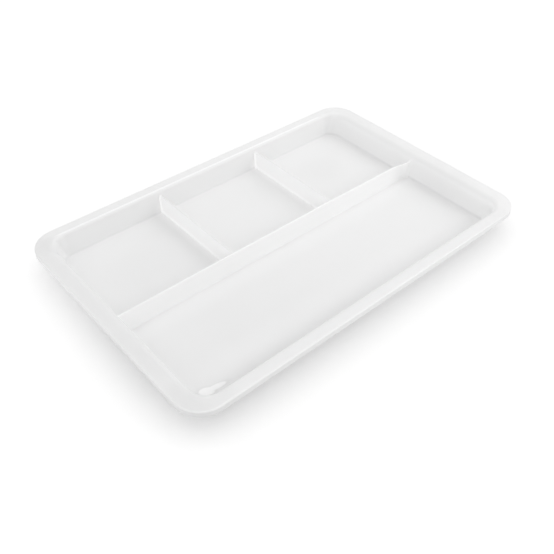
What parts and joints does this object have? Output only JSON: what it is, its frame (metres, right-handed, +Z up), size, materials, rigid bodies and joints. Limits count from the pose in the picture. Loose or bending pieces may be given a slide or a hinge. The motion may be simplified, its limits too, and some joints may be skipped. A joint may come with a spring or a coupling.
{
  "type": "divided tray",
  "caption": "Shallow rectangular white plastic tray with a turned-down rim, a long compartment and a row of small compartments, for holding tools and small parts.",
  "frame": {"origin": "centre of the underside, on the plane the tray rests on", "axes": "+X along the tray's length, +Y towards the row of small compartments, +Z up out of the open top"},
  "size_m": [0.284, 0.185, 0.0188],
  "materials": {
    "shell_plastic": "white, softly glossy, slightly translucent",
    "divider_plastic": "white, softly glossy, thin and slightly more translucent"
  },
  "bodies": {
    "root": {"tray_shell": "shell_plastic", "long_divider": "divider_plastic", "cross_divider_left": "divider_plastic", "cross_divider_right": "divider_plastic"}
  },
  "joints": []
}
